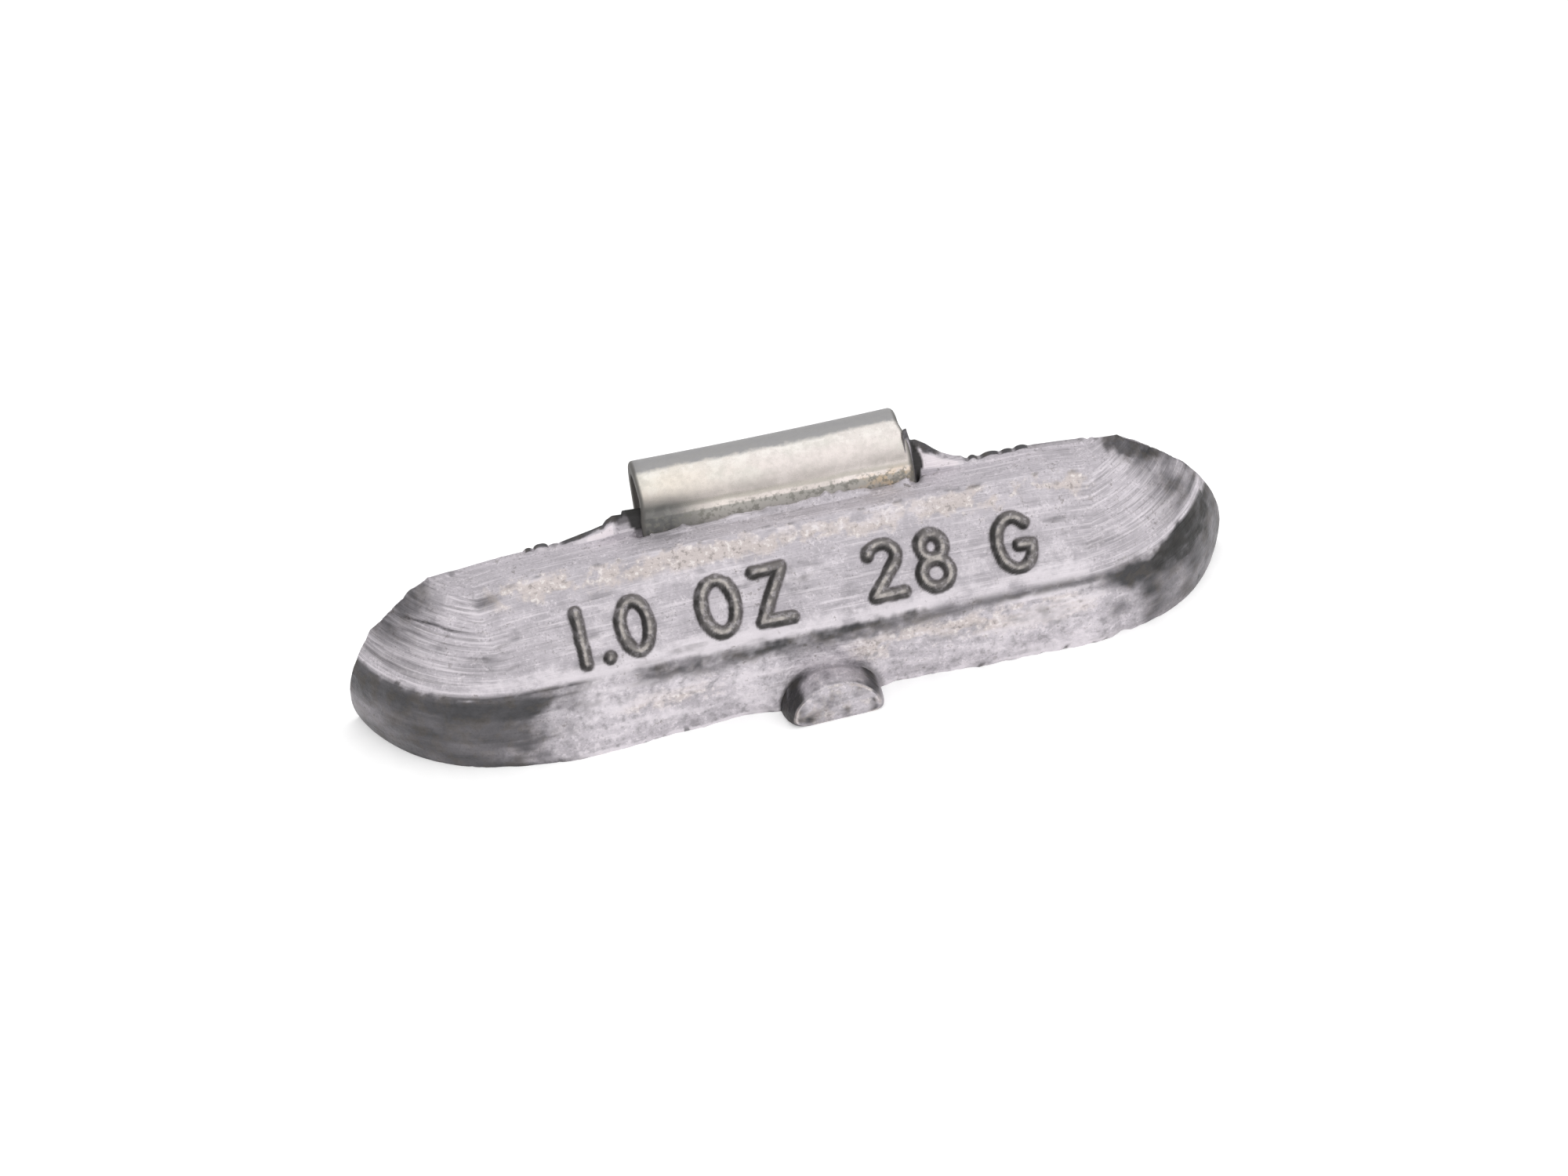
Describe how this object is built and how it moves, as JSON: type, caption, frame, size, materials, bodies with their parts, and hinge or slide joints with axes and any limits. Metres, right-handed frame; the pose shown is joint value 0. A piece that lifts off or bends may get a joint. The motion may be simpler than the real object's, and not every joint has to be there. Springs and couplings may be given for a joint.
{
  "type": "clip-on wheel balance weight",
  "caption": "Cast lead bar with rounded ends and a folded spring-steel clip that hooks over the edge of a car wheel rim.",
  "frame": {"origin": "middle of the flat base of the lead, at half its length and half its depth", "axes": "+X along the rim, -Y out of the wheel (the face with the raised figures looks that way and up), +Z towards the tyre"},
  "size_m": [0.052, 0.0132, 0.0127],
  "materials": {
    "cast_lead": "as-cast lead alloy, dull grey with tool marks and grime",
    "plated_spring_steel": "pale yellow zinc plate, satin"
  },
  "bodies": {
    "root": {"lead_body": "cast_lead", "spring_clip": "plated_spring_steel"}
  },
  "joints": []
}
